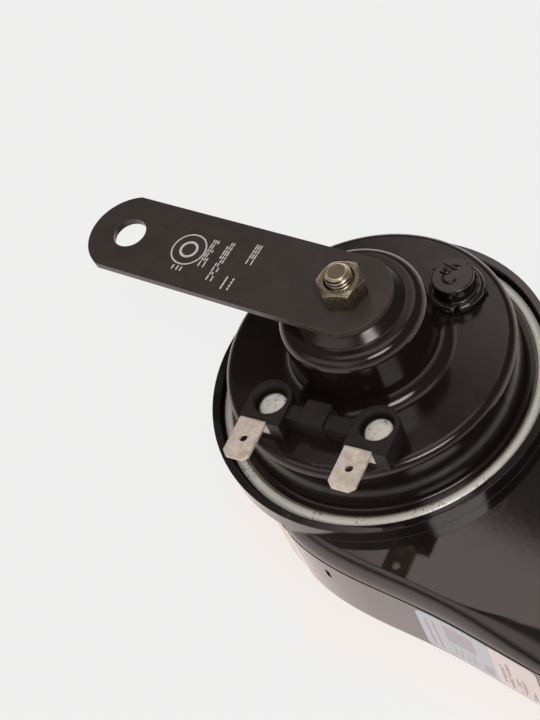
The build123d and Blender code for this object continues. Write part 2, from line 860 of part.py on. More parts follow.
# Insulating plate and two lugs under the plateau, held by the same rivets
inner_plate_bottom = plateau_under - inner_plate_sheet
lug_bottom = inner_plate_bottom - lug_sheet
rivet_tail = rivet_radius / 2
with BuildPart() as inner_plate:
    with BuildSketch(terminal_plane.offset(inner_plate_bottom)):
        with Locations(rivet_row):
            Circle(lug_radius + housing_sheet)
        with Locations((terminal_mid, terminal_row)):
            Rectangle(terminal_pitch + 2 * (lug_reach + lead_radius), lug_radius + housing_sheet)
        with Locations(rivet_row):
            Circle(rivet_radius, mode=Mode.SUBTRACT)
    extrude(amount=inner_plate_sheet)
    with Locations((0, 0, plateau_under)):
        Hole(retainer_radius + fit_clearance)
save(inner_plate, "inner_insulator")

for side, outwards, place in zip(("left", "right"), (-1, 1), rivet_row):
    with BuildPart() as lug:
        with BuildSketch(terminal_plane.offset(lug_bottom)):
            with Locations((place[0] + outwards * lug_reach / 2, place[1])):
                Rectangle(lug_reach, lug_radius)
            with Locations(place):
                Circle(lug_radius)
                Circle(rivet_radius, mode=Mode.SUBTRACT)
        extrude(amount=lug_sheet)
    save(lug, f"lug_{side}")

with BuildPart() as terminal_rivets:
    with BuildSketch(terminal_plane.offset(lug_bottom - rivet_tail)):
        with Locations(rivet_row):
            Circle(rivet_tail_radius)
    extrude(amount=rivet_tail)
    with BuildSketch(terminal_plane.offset(lug_bottom)):
        with Locations(rivet_row):
            Circle(rivet_radius)
    extrude(amount=well_bottom - lug_bottom)
    with BuildSketch(terminal_plane.offset(well_bottom)):
        with Locations(rivet_row):
            Circle(rivet_head_radius)
    extrude(amount=rivet_head_height)
    fillet(terminal_rivets.edges().group_by(Axis.Z)[-1], radius=rivet_head_round)
save(terminal_rivets, "terminal_rivets")

# ---------------------------------------------------------------- leads
down = (0, 0, -1)
lead_height = lug_bottom - lead_drop
lead_start = [
    terminal_plane.from_local_coords((rivet_row[0][0] - lug_reach + lead_radius, terminal_row, lug_bottom)),
    terminal_plane.from_local_coords((rivet_row[1][0] + lug_reach - lead_radius, terminal_row, lug_bottom)),
]
winding_bottom = bobbin_bottom + bobbin_flange


def lead(name, points, first, last):
    """Round wire along a smooth line, leaving its first point and reaching its last in given directions."""
    with BuildPart() as wire:
        with BuildLine():
            Spline(*points, tangents=[first, last])
        with BuildSketch(Plane(origin=points[0], z_dir=first)):
            Circle(lead_radius)
        sweep()
    save(wire, name)


lead(
    "coil_lead_in",
    [
        lead_start[0],
        (*ring_at(*coil_lead_in_bend), lead_height),
        (coil_ends[0][0], coil_ends[0][1], winding_bottom),
    ],
    down,
    (0, 0, 1),
)
arm_middle = (fixed_arm_top + fixed_arm_bottom) / 2
arm_side = (stack_start - 2 * lead_radius, -blade_width / 2 - housing_sheet, arm_middle)
lead(
    "coil_lead_out",
    [
        (coil_ends[1][0], coil_ends[1][1], winding_bottom),
        breaker_plane.from_local_coords((*coil_lead_out_bends[0], lead_height)),
        breaker_plane.from_local_coords((*coil_lead_out_bends[1], blade_bottom)),
        breaker_plane.from_local_coords(arm_side),
    ],
    down,
    breaker_plane.from_local_coords((0, 1, 0)),
)
stack_side = (stack_middle, -stack_width / 2, blade_bottom)
lead(
    "breaker_lead",
    [
        lead_start[1],
        *[(*ring_at(stack_middle, turn), lead_height) for turn in breaker_lead_turns],
        breaker_plane.from_local_coords(stack_side),
    ],
    down,
    breaker_plane.from_local_coords((0, 1, 0)),
)

# ---------------------------------------------------------------- bracket and its nut
bracket_corner = sqrt(bracket_end_radius**2 - (bracket_width / 2) ** 2)


def bracket_leaf(name, bottom):
    """One of the two thin steel leaves: parallel sides, shallow round ends and two holes."""
    half = bracket_width / 2
    far_x = bracket_far_centre - bracket_corner
    near_x = bracket_near_centre + bracket_corner
    with BuildPart() as leaf:
        with BuildSketch(Plane.XY.offset(bottom)):
            with BuildLine():
                Line((far_x, half), (near_x, half))
                ThreePointArc((near_x, half), (bracket_near_centre + bracket_end_radius, 0), (near_x, -half))
                Line((near_x, -half), (far_x, -half))
                ThreePointArc((far_x, -half), (bracket_far_centre - bracket_end_radius, 0), (far_x, half))
            make_face()
            with Locations((-bracket_hole_reach, 0)):
                Circle(bracket_hole_radius, mode=Mode.SUBTRACT)
            Circle(stud_radius + stud_hole_clearance, mode=Mode.SUBTRACT)
        extrude(amount=leaf_sheet)
    save(leaf, name)


bracket_leaf("bracket_lower_leaf", bracket_under)
bracket_leaf("bracket_upper_leaf", bracket_mid)

nut_corner_radius = nut_flats / sqrt(3)
nut_face_radius = nut_face / 2
nut_chamfer_rise = (nut_corner_radius - nut_face_radius) / 2
with BuildPart() as nut_turning:
    with BuildSketch(Plane.XZ):
        with BuildLine():
            Polyline(
                (0, bracket_top),
                (nut_face_radius, bracket_top),
                (nut_corner_radius, bracket_top + nut_chamfer_rise),
                (nut_corner_radius, nut_top - nut_chamfer_rise),
                (nut_face_radius, nut_top),
                (0, nut_top),
                close=True,
            )
        make_face()
    revolve(axis=Axis.Z)

with BuildPart() as nut:
    with BuildSketch(Plane.XY.offset(bracket_top)):
        RegularPolygon(nut_flats / 2, 6, major_radius=False, rotation=nut_turn)
    extrude(amount=nut_height)
    add(nut_turning.part, mode=Mode.INTERSECT)
    with Locations((0, 0, nut_top)):
        CounterSinkHole(stud_radius, stud_radius + nut_countersink)
save(nut, "mounting_nut")

# ---------------------------------------------------------------- rating sticker
with BuildPart() as sticker:
    add(trumpet_face(0, inset=-sticker_sheet))
    extrude(amount=parting_height)
    add(trumpet_face(0))
    extrude(amount=parting_height, mode=Mode.SUBTRACT)
    with BuildSketch(Plane.XZ.offset(cup_radius)):
        with Locations((sticker_start + sticker_length / 2, (sticker_low + sticker_high) / 2)):
            RectangleRounded(sticker_length, sticker_high - sticker_low, sticker_corner)
    extrude(amount=rim_radius, mode=Mode.INTERSECT)
save(sticker, "rating_sticker")
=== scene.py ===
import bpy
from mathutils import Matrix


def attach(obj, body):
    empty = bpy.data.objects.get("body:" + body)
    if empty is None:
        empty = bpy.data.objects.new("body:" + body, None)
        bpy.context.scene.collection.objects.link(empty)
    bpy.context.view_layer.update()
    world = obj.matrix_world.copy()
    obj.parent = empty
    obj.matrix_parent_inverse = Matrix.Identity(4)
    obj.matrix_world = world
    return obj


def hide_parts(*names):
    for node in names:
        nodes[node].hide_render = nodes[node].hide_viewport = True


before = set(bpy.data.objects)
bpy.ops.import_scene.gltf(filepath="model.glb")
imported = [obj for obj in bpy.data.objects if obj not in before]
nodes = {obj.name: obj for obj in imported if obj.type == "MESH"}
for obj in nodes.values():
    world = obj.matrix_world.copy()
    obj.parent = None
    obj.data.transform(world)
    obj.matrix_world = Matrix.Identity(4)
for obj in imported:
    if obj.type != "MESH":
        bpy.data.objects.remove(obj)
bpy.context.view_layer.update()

import math
import random

import bmesh
import bpy
from mathutils import Matrix, Vector
from mathutils.bvhtree import BVHTree

MM = 0.001
random.seed(7)

# ---------------------------------------------------------------- camera
CAMERA_PLACE = Vector((146.87, -140.39, 295.43)) * MM
CAMERA_RIGHT = Vector((0.82223, 0.48944, -0.2905))
CAMERA_DOWN = Vector((0.26099, -0.7778, -0.57176))
CAMERA_FORWARD = Vector((-0.50579, 0.3943, -0.76727))
CAMERA_LENS = 73.42


def add_camera():
    """Camera at the photograph's viewing angle."""
    data = bpy.data.cameras.new("camera")
    data.lens = CAMERA_LENS
    data.sensor_width = 36.0
    data.clip_start = 0.01
    data.clip_end = 20.0
    camera = bpy.data.objects.new("camera", data)
    bpy.context.scene.collection.objects.link(camera)
    turn = Matrix((CAMERA_RIGHT, -CAMERA_DOWN, -CAMERA_FORWARD)).transposed()
    camera.matrix_world = Matrix.Translation(CAMERA_PLACE) @ turn.to_4x4()
    bpy.context.scene.camera = camera


# ---------------------------------------------------------------- materials
class Look:
    """A material with its shader, and short calls that add procedural nodes to it."""

    def __init__(self, name, roughness, metallic=0.0, **sockets):
        self.material = bpy.data.materials.new(name)
        self.material.use_nodes = True
        self.tree = self.material.node_tree
        self.shader = self.tree.nodes["Principled BSDF"]
        self.shader.inputs["Roughness"].default_value = roughness
        self.shader.inputs["Metallic"].default_value = metallic
        for socket, value in sockets.items():
            self.shader.inputs[socket.replace("_", " ")].default_value = value
        self.place = self.node("ShaderNodeTexCoord").outputs["Object"]

    def node(self, kind, **inputs):
        """A new node, with its inputs set to values or linked to other nodes' outputs."""
        made = self.tree.nodes.new(kind)
        for name, value in inputs.items():
            self.feed(made.inputs[name.replace("_", " ")], value)
        return made

    def feed(self, socket, value):
        """Sets a socket to a value, or links another node's output to it."""
        if isinstance(value, bpy.types.NodeSocket):
            self.tree.links.new(value, socket)
        else:
            socket.default_value = value

    def stretched(self, scale):
        """Object coordinates scaled differently along X, Y and Z."""
        made = self.node("ShaderNodeMapping", Vector=self.place)
        made.inputs["Scale"].default_value = scale
        return made.outputs["Vector"]

    def noise(self, size_mm, detail=3.0, roughness=0.55, place=None, distortion=0.0):
        """Noise whose blobs are about size_mm across."""
        made = self.node(
            "ShaderNodeTexNoise",
            Vector=place or self.place,
            Scale=1.0 / (size_mm * MM),
            Detail=detail,
            Roughness=roughness,
            Distortion=distortion,
        )
        return made.outputs["Fac"]

    def cells(self, size_mm):
        """Distance from the middles of scattered cells about size_mm apart."""
        made = self.node("ShaderNodeTexVoronoi", Vector=self.place, Scale=1.0 / (size_mm * MM))
        return made.outputs["Distance"]

    def ramp(self, value, low, high, start=0.0, end=1.0):
        """value between low and high carried over to between start and end."""
        made = self.node("ShaderNodeMapRange", Value=value)
        made.inputs["From Min"].default_value = low
        made.inputs["From Max"].default_value = high
        made.inputs["To Min"].default_value = start
        made.inputs["To Max"].default_value = end
        return made.outputs["Result"]

    def math(self, operation, first, second=0.0):
        """Sum, product or other operation on one or two values."""
        made = self.node("ShaderNodeMath")
        made.operation = operation
        self.feed(made.inputs[0], first)
        self.feed(made.inputs[1], second)
        return made.outputs["Value"]

    def mix(self, share, first, second):
        """Colour mixed from first to second."""
        made = self.node("ShaderNodeMix")
        made.data_type = "RGBA"
        self.feed(made.inputs["Factor"], share)
        self.feed(made.inputs["A"], first)
        self.feed(made.inputs["B"], second)
        return made.outputs["Result"]

    def painted_highlight_edges(self, radius_mm):
        """1 on sharp edges and 0 on flat faces: where edge highlights are painted."""
        rounded = self.node("ShaderNodeBevel", Radius=radius_mm * MM).outputs["Normal"]
        true = self.node("ShaderNodeNewGeometry").outputs["Normal"]
        made = self.node("ShaderNodeVectorMath")
        made.operation = "DOT_PRODUCT"
        self.feed(made.inputs[0], rounded)
        self.feed(made.inputs[1], true)
        return self.ramp(made.outputs["Value"], 0.99, 0.8)

    def surface(self, height, distance_mm, strength, edge_mm):
        """Bump from a height, on edges rounded by edge_mm."""
        rounded = self.node("ShaderNodeBevel", Radius=edge_mm * MM).outputs["Normal"]
        bump = self.node(
            "ShaderNodeBump", Height=height, Strength=strength, Distance=distance_mm * MM, Normal=rounded
        )
        self.feed(self.shader.inputs["Normal"], bump.outputs["Normal"])

    def colour(self, value):
        self.feed(self.shader.inputs["Base Color"], value)

    def roughness(self, value):
        self.feed(self.shader.inputs["Roughness"], value)


# Millimetres that the materials share with the pieces.
STICKER_SPLIT = 47.5
STUD_RADIUS = 2.9
STUD_TOP = 69.35
STUD_CHAMFER = 0.8


def rgb(red, green, blue):
    """A screen colour, 0 to 255, as a linear one."""
    linear = []
    for level in (red, green, blue):
        share = level / 255.0
        linear.append(share / 12.92 if share <= 0.04045 else ((share + 0.055) / 1.055) ** 2.4)
    return (*linear, 1.0)


def moulded_plastic():
    """Glossy black moulded plastic with fine grain, dust and light scuffs."""
    look = Look("moulded_plastic", 0.2, Specular_IOR_Level=0.8)
    dust = look.ramp(look.cells(3.1), 0.035, 0.02)
    scuffs = look.noise(0.9, place=look.stretched((1.0, 0.12, 0.5)), detail=1.0)
    tone = look.mix(look.ramp(look.noise(9.0), 0.35, 0.7), rgb(25, 21, 20), rgb(31, 27, 25))
    look.colour(look.mix(look.math("MULTIPLY", dust, 0.35), tone, rgb(150, 140, 135)))
    base = look.ramp(look.noise(6.0), 0.3, 0.7, 0.05, 0.08)
    scuffed = look.math("MULTIPLY", look.ramp(scuffs, 0.72, 0.8), 0.08)
    look.roughness(look.math("ADD", base, scuffed))
    look.surface(look.noise(1.6, detail=2.0), distance_mm=0.02, strength=0.15, edge_mm=0.3)
    return look.material


def gloss_paint():
    """Gloss black paint on drawn steel, with a little orange peel."""
    look = Look("gloss_paint", 0.12, Specular_IOR_Level=0.5)
    tone = look.mix(look.noise(7.0), rgb(24, 19, 18), rgb(32, 27, 25))
    specks = look.ramp(look.cells(2.7), 0.03, 0.018)
    look.colour(look.mix(look.math("MULTIPLY", specks, 0.3), tone, rgb(140, 130, 124)))
    look.roughness(look.ramp(look.noise(4.0), 0.3, 0.7, 0.12, 0.17))
    look.surface(look.noise(1.4, detail=1.0), distance_mm=0.01, strength=0.2, edge_mm=0.3)
    return look.material


def satin_paint():
    """Satin brown-black paint on sheet steel, with a painted highlight along its edges."""
    look = Look("satin_paint", 0.42, Specular_IOR_Level=0.35)
    clouds = look.ramp(look.noise(5.0, detail=5.0), 0.3, 0.7)
    tone = look.mix(clouds, rgb(62, 58, 56), rgb(70, 65, 63))
    # Painted highlight: a lighter colour along the sharp edges, where the light catches them.
    painted_edge_highlight = look.math("MULTIPLY", look.painted_highlight_edges(0.14), 0.6)
    look.colour(look.mix(painted_edge_highlight, tone, rgb(170, 155, 142)))
    look.roughness(look.ramp(look.noise(2.0), 0.3, 0.7, 0.22, 0.28))
    look.surface(look.noise(0.25, detail=2.0), distance_mm=0.01, strength=0.2, edge_mm=0.12)
    return look.material


def inner_steel():
    """Plated steel inside the horn, mottled between two tones."""
    look = Look("inner_steel", 0.35, metallic=1.0)
    patches = look.noise(3.0, detail=6.0, roughness=0.65, distortion=0.4)
    grain = look.ramp(look.noise(3.0 / 7, detail=3.0), 0.35, 0.65)
    dark = rgb(120, 120, 118)
    tone = look.mix(look.ramp(patches, 0.36, 0.62), dark, rgb(186, 186, 184))
    look.colour(look.mix(look.math("MULTIPLY", grain, 0.35), tone, dark))
    look.roughness(look.ramp(grain, 0.0, 1.0, 0.2625, 0.455))
    look.surface(grain, distance_mm=0.02, strength=0.4, edge_mm=0.12)
    return look.material


def olive_zinc():
    """Olive plating on the nut, with a painted highlight along its edges."""
    look = Look("olive_zinc", 0.24, metallic=1.0)
    grain = look.ramp(look.noise(0.25, detail=4.0), 0.35, 0.65)
    patches = look.ramp(look.noise(0.9, detail=5.0, roughness=0.65), 0.36, 0.62)
    tone = look.mix(patches, rgb(130, 123, 103), rgb(164, 157, 134))
    # Painted highlight: a lighter colour along the sharp edges, where the light catches them.
    painted_edge_highlight = look.math("MULTIPLY", look.painted_highlight_edges(0.16), 0.75)
    look.colour(look.mix(painted_edge_highlight, tone, rgb(236, 228, 206)))
    look.roughness(look.ramp(grain, 0.0, 1.0, 0.24, 0.36))
    look.surface(grain, distance_mm=0.008, strength=0.2, edge_mm=0.08)
    return look.material


def threaded_zinc():
    """Olive zinc on the stud, with painted highlights on the thread's crests and the end's rim, painted
    shade in the grooves, and the end face painted lighter, as lit from above.
    """
    look = Look("threaded_zinc", 0.3, metallic=0.9)
    height = look.node("ShaderNodeSeparateXYZ", Vector=look.place).outputs["Z"]
    radius = look.node("ShaderNodeVectorMath", Vector=look.stretched((1.0, 1.0, 0.0)))
    radius.operation = "LENGTH"
    above = look.math("MAXIMUM", look.math("SUBTRACT", height, (STUD_TOP - STUD_CHAMFER) * MM), 0.0)
    envelope = look.math("SUBTRACT", STUD_RADIUS * MM, above)
    depth = look.math("SUBTRACT", envelope, radius.outputs["Value"])
    on_end = look.ramp(height, (STUD_TOP - 0.06) * MM, (STUD_TOP - 0.04) * MM)
    # Painted shade: dark in the thread's grooves. On the end face the tone is lighter, painted as lit
    # from above.
    groove = look.mix(on_end, rgb(46, 42, 34), rgb(138, 132, 110))
    dust = look.ramp(look.noise(0.5, detail=4.0), 0.4, 0.65, 0.0, 0.3)
    tone = look.mix(dust, groove, rgb(120, 112, 92))
    # Painted highlight: bright on the thread's crests, brightest on the end's rim.
    painted_crest_highlight = look.mix(on_end, rgb(176, 168, 146), rgb(226, 220, 200))
    look.colour(look.mix(look.ramp(depth, 0.06 * MM, 0.2 * MM), painted_crest_highlight, tone))
    look.surface(look.noise(0.3), distance_mm=0.01, strength=0.3, edge_mm=0.02)
    return look.material


def pitted_zinc(name, pit_mm, patch_mm, metallic, bare):
    """Bright zinc with dark pits in patches; bare is the level of noise below which a place has none."""
    look = Look(name, 0.36, metallic=metallic)
    pits = look.ramp(look.noise(pit_mm, detail=4.0, roughness=0.7), 0.54, 0.62)
    where = look.ramp(look.noise(patch_mm, detail=1.0), bare, bare + 0.1)
    tone = look.mix(look.noise(1.1, detail=3.0), rgb(248, 255, 247), rgb(226, 233, 224))
    look.colour(look.mix(look.math("MULTIPLY", pits, where), tone, rgb(70, 70, 66)))
    look.roughness(look.ramp(pits, 0.0, 1.0, 0.3, 0.6))
    look.surface(look.math("SUBTRACT", 1.0, pits), distance_mm=0.05, strength=0.5, edge_mm=0.15)
    return look.material


def rubber(name, low, high, roughness, grain_mm, shine=0.45):
    """Black rubber or glass-filled nylon, between two tones."""
    look = Look(name, roughness, Specular_IOR_Level=shine)
    look.colour(look.mix(look.ramp(look.noise(grain_mm * 6), 0.3, 0.7), low, high))
    smooth, rough = 0.85 * roughness, 1.15 * roughness
    look.roughness(look.ramp(look.noise(grain_mm * 2), 0.3, 0.7, smooth, rough))
    look.surface(look.noise(grain_mm, detail=4.0), distance_mm=0.03, strength=0.5, edge_mm=0.25)
    return look.material


def tinned_brass():
    """Dull tinned blade, cream in the light, with fine dark specks."""
    look = Look("tinned_brass", 0.5, metallic=0.2)
    specks = look.ramp(look.cells(0.55), 0.2, 0.05)
    clouds = look.ramp(look.noise(2.2, detail=5.0), 0.35, 0.65)
    tone = look.mix(clouds, rgb(206, 198, 184), rgb(244, 237, 224))
    look.colour(look.mix(look.math("MULTIPLY", specks, 0.45), tone, rgb(120, 110, 100)))
    look.roughness(look.ramp(look.noise(0.8), 0.3, 0.7, 0.42, 0.6))
    look.surface(look.noise(0.6, detail=4.0), distance_mm=0.05, strength=0.5, edge_mm=0.1)
    return look.material


def laminate(name, low, high, roughness=0.55):
    """Paper, phenolic and other plain inner materials, with a fibre grain."""
    look = Look(name, roughness)
    fibres = look.noise(0.8, detail=5.0, place=look.stretched((1.0, 0.25, 1.0)))
    look.colour(look.mix(look.ramp(fibres, 0.3, 0.7), low, high))
    look.surface(fibres, distance_mm=0.02, strength=0.3, edge_mm=0.1)
    return look.material


def wound_copper(name, turn_mm):
    """Enamelled copper in close turns."""
    look = Look(name, 0.3, metallic=0.9)
    # At a scale of 0.31 the texture makes about one wave per unit.
    scale = 0.31 / (turn_mm * MM)
    wave = look.node("ShaderNodeTexWave", Vector=look.place, Scale=scale, Distortion=0.4)
    wave.bands_direction = "Z"
    look.colour(look.mix(wave.outputs["Fac"], rgb(120, 62, 34), rgb(196, 118, 72)))
    look.surface(wave.outputs["Fac"], distance_mm=0.06, strength=0.8, edge_mm=0.05)
    return look.material


def label_film():
    """Two fields of plain colour side by side, a little crumpled."""
    look = Look("label_film", 0.32, Specular_IOR_Level=0.5)
    along = look.node("ShaderNodeSeparateXYZ", Vector=look.place).outputs["X"]
    share = look.ramp(along, (STICKER_SPLIT - 0.05) * MM, (STICKER_SPLIT + 0.05) * MM)
    look.colour(look.mix(share, rgb(208, 222, 234), rgb(252, 247, 244)))
    look.surface(look.noise(3.0, detail=2.0), distance_mm=0.05, strength=0.3, edge_mm=0.05)
    return look.material


def ink(name, thick, thin):
    """Printed ink, thicker and thinner in places."""
    look = Look(name, 0.45)
    look.colour(look.mix(look.ramp(look.noise(0.35, detail=3.0), 0.3, 0.62), thick, thin))
    look.surface(look.noise(0.2), distance_mm=0.01, strength=0.2, edge_mm=0.02)
    return look.material


MATERIALS = {
    "label": label_film(),
    "plastic": moulded_plastic(),
    "gloss": gloss_paint(),
    "satin": satin_paint(),
    "ring": pitted_zinc("crimped_zinc", pit_mm=0.6, patch_mm=7.0, metallic=0.25, bare=0.58),
    "olive": olive_zinc(),
    "stud": threaded_zinc(),
    "rivet": pitted_zinc("rivet_zinc", pit_mm=1.1, patch_mm=2.4, metallic=0.15, bare=0.5),
    "steel": inner_steel(),
    "block": rubber("glass_nylon", rgb(24, 21, 20), rgb(32, 29, 27), 0.46, 0.3),
    "seal": rubber("seal_rubber", rgb(13, 12, 12), rgb(20, 18, 18), 0.62, 0.25, shine=0.25),
    "plug": rubber("plug_rubber", rgb(16, 14, 14), rgb(22, 19, 18), 0.16, 1.5, shine=0.75),
    "white_ink": ink("white_ink", rgb(242, 248, 250), rgb(208, 214, 216)),
    "dark_ink": ink("dark_ink", rgb(84, 76, 76), rgb(110, 100, 100)),
    "pale_ink": ink("pale_ink", rgb(180, 170, 174), rgb(196, 188, 190)),
    "shadow_line": rubber("shadow_line", rgb(10, 9, 9), rgb(14, 12, 12), 0.7, 0.5),
    "tab": tinned_brass(),
    "gasket": laminate("gasket_paper", rgb(96, 90, 78), rgb(128, 120, 104)),
    "phenolic": laminate("phenolic", rgb(92, 54, 30), rgb(122, 76, 44)),
    "nylon": laminate("bobbin_nylon", rgb(190, 182, 164), rgb(206, 199, 183), 0.45),
    "winding": wound_copper("winding_copper", 0.45),
    "lead": wound_copper("lead_copper", 1.4),
}

NODE_LOOKS = {
    "plastic": ("trumpet_front_half", "trumpet_back_half"),
    "gloss": ("motor_housing",),
    "satin": ("bracket_lower_leaf", "bracket_upper_leaf"),
    "ring": ("crimp_ring",),
    "olive": ("mounting_nut", "pole_core"),
    "rivet": ("terminal_rivets", "moving_contact", "fixed_contact"),
    "steel": (
        "diaphragm", "coil_retainer", "armature", "armature_washer", "armature_nut", "breaker_plate",
        "contact_blade", "fixed_arm", "breaker_rivets", "adjusting_screw",
    ),
    "block": ("terminal_block",),
    "seal": ("seal_ring",),
    "plug": ("adjuster_plug",),
    "tab": ("terminal_left", "terminal_right", "lug_left", "lug_right"),
    "gasket": ("lower_gasket", "upper_gasket", "lip_gasket"),
    "label": ("rating_sticker",),
    "phenolic": (
        "upper_insulator", "middle_insulator", "lower_insulator", "inner_insulator", "pusher_pin",
    ),
    "nylon": ("coil_bobbin",),
    "winding": ("coil_winding",),
    "lead": ("coil_lead_in", "coil_lead_out", "breaker_lead"),
}


def paint(obj, look):
    """Gives an object one of the materials in place of its own."""
    obj.data.materials.clear()
    obj.data.materials.append(MATERIALS[look])


for look_name, members in NODE_LOOKS.items():
    for member in members:
        paint(nodes[member], look_name)


# ---------------------------------------------------------------- detailed pieces
# Millimetres; those whose names end in TOP or LOW are heights above the floor. Angles are in degrees.
BRACKET_TOP = 62.0
CORE_RADIUS = 6.5
CORE_LOW = 36.6
CORE_TOP = 59.6
STUD_NECK = 2.85
THREAD_LOW = BRACKET_TOP
THREAD_PITCH = 1.0
THREAD_DEPTH = 0.55
NUT_TOP = 67.1
NUT_FLATS = 9.3
NUT_FACE = 4.3
NUT_BORE = 3.05
NUT_SINK = 3.5
PLUG_CENTRE = (12.5, 19.8)
PLUG_TOP = 48.4
PLUG_FLANGE = 5.4
PLUG_SEAM_ANGLE = -62.0
PLATEAU_TOP = 42.8
BOSS_RADIUS = 16.3
BOSS_FILLET = 3.8
RIVET_HEAD_LOW = 45.2
BLOCK_TURN = 4.5
SEAM_TOP = 21.3
SEAM_WIDTH = 0.16
PRINT_LIFT = 0.012


def add_piece(name, points, faces, look, sharp=34.0):
    """Mesh from points in millimetres, shaded smooth but for its sharp edges, fixed to the horn."""
    mesh = bpy.data.meshes.new(name)
    mesh.from_pydata([Vector(point) * MM for point in points], [], faces)
    work = bmesh.new()
    work.from_mesh(mesh)
    bmesh.ops.remove_doubles(work, verts=work.verts, dist=0.001 * MM)
    bmesh.ops.recalc_face_normals(work, faces=work.faces)
    work.to_mesh(mesh)
    work.free()
    mesh.shade_smooth()
    mesh.set_sharp_from_angle(angle=math.radians(sharp))
    piece = bpy.data.objects.new(name, mesh)
    bpy.context.scene.collection.objects.link(piece)
    paint(piece, look)
    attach(piece, "horn")
    return piece


def turned(rows, steps, centre=(0.0, 0.0), shape=None):
    """Rows of (radius, height) turned about an upright line.

    shape, where it is given, turns a point's radius, height and angle into its own radius and height.
    """
    points = []
    faces = []
    for radius, height in rows:
        for step in range(steps):
            angle = 2 * math.pi * step / steps
            reach, level = shape(radius, height, angle) if shape else (radius, height)
            x = centre[0] + reach * math.cos(angle)
            y = centre[1] + reach * math.sin(angle)
            points.append((x, y, level))
    for row in range(len(rows) - 1):
        for step in range(steps):
            low = row * steps
            after = (step + 1) % steps
            faces.append((low + step, low + after, low + steps + after, low + steps + step))
    return points, faces


def spread(start, end, count):
    """count values from start to end."""
    return [start + (end - start) * index / (count - 1) for index in range(count)]


def near_angle(angle, middle, width):
    """1 at an angle in degrees, falling to 0 over a width in degrees on both sides."""
    away = (math.degrees(angle) - middle + 180.0) % 360.0 - 180.0
    return math.exp(-((away / width) ** 2))


def add_stud():
    """Pole core with its threaded and chamfered mounting stud."""

    def thread(radius, height, angle):
        """Cuts a helical groove into the stud's side, under the chamfer at its end."""
        if height < THREAD_LOW + 0.01 or radius < 0.6 * STUD_RADIUS:
            return radius, height
        turn = (height / THREAD_PITCH - angle / (2 * math.pi)) % 1.0
        groove = min(1.0, max(0.0, 2.6 * abs(turn - 0.5) - 0.2))
        chamfer = STUD_RADIUS - max(0.0, height - (STUD_TOP - STUD_CHAMFER))
        return min(STUD_RADIUS - THREAD_DEPTH * groove, chamfer), height

    rows = [(0.0, CORE_LOW), (CORE_RADIUS, CORE_LOW), (CORE_RADIUS, CORE_TOP)]
    rows += [(STUD_NECK, CORE_TOP), (STUD_NECK, THREAD_LOW)]
    rows += [(STUD_RADIUS, height) for height in spread(THREAD_LOW + 0.05, STUD_TOP, 150)]
    rows += [(1.7, STUD_TOP), (0.9, STUD_TOP - 0.01), (0.0, STUD_TOP - 0.01)]
    points, faces = turned(rows, 112, shape=thread)
    piece = add_piece("threaded_stud", points, faces, "stud", sharp=28.0)
    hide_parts("pole_core")


def add_nut():
    """Hexagonal nut with chamfered corners and a countersunk thread."""
    corner = max(nodes["mounting_nut"].data.vertices, key=lambda vert: vert.co.xy.length).co
    turn = math.atan2(corner.y, corner.x)
    middle = (BRACKET_TOP + NUT_TOP) / 2

    def hexagon(radius, height, angle):
        """Draws the outer rows in to six flats, chamfered at 30 degrees towards both ends."""
        if radius <= NUT_FLATS / 2:
            return radius, height
        from_flat = (angle - turn) % (math.pi / 3) - math.pi / 6
        reach = NUT_FLATS / 2 / math.cos(from_flat)
        chamfer = (reach - NUT_FACE) * math.tan(math.radians(30.0))
        return reach, height - math.copysign(chamfer, height - middle)

    rows = [(NUT_BORE, BRACKET_TOP), (NUT_FACE, BRACKET_TOP), (NUT_FLATS, BRACKET_TOP)]
    rows += [(NUT_FLATS, NUT_TOP), (NUT_FACE, NUT_TOP), (NUT_SINK, NUT_TOP)]
    rows += [(NUT_BORE, NUT_TOP - (NUT_SINK - NUT_BORE)), (NUT_BORE, BRACKET_TOP)]
    points, faces = turned(rows, 360, shape=hexagon)
    piece = add_piece("chamfered_nut", points, faces, "olive", sharp=24.0)
    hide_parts("mounting_nut")


def add_plug():
    """Cap over the adjusting screw: flange, body, mould seam and uneven edge."""

    def shape(radius, height, angle):
        """Makes the edge uneven, and cuts the flange off where the boss's fillet stands."""
        outside = max(0.0, radius - PLUG_FLANGE) / 1.3
        uneven = 0.5 * math.sin(5 * angle + 1.0) + 0.3 * math.sin(11 * angle + 2.0)
        uneven += 0.2 * math.sin(17 * angle)
        seam = near_angle(angle, PLUG_SEAM_ANGLE, 4.0)
        reach = radius
        if radius > 4.0:
            reach += 0.03 * uneven + outside * (0.07 * uneven - 1.0 * seam) - 0.16 * seam
        sink = height - PLATEAU_TOP
        if sink < BOSS_FILLET:
            foot = BOSS_RADIUS + BOSS_FILLET - math.sqrt(BOSS_FILLET**2 - (BOSS_FILLET - sink) ** 2)
            away = Vector(PLUG_CENTRE)
            ray = Vector((math.cos(angle), math.sin(angle)))
            along = away.dot(ray)
            inside = along**2 - away.length_squared + foot**2
            if along < 0 and inside > 0:
                reach = min(reach, -along - math.sqrt(inside))
        return reach, height

    low = PLATEAU_TOP + 0.02
    rows = [(0.0, 46.2), (2.0, 46.2), (2.0, low)]
    rows += [(radius, low) for radius in spread(3.0, 6.4, 5)]
    rows += [(6.66, low + 0.2), (6.7, low + 0.6), (6.66, 43.9), (6.45, 44.3), (6.1, 44.58), (5.7, 44.68)]
    rows += [(5.3, 44.66), (5.02, 44.72), (4.9, 44.95), (4.86, 45.3)]
    rows += [(4.85, height) for height in spread(45.7, 47.9, 5)]
    rows += [(4.82, 48.15), (4.72, 48.32), (4.55, 48.38)]
    rows += [(radius, PLUG_TOP - 0.03) for radius in spread(4.2, 0.0, 8)]
    points, faces = turned(rows, 144, PLUG_CENTRE, shape)
    piece = add_piece("moulded_plug", points, faces, "plug", sharp=60.0)
    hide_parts("adjuster_plug")


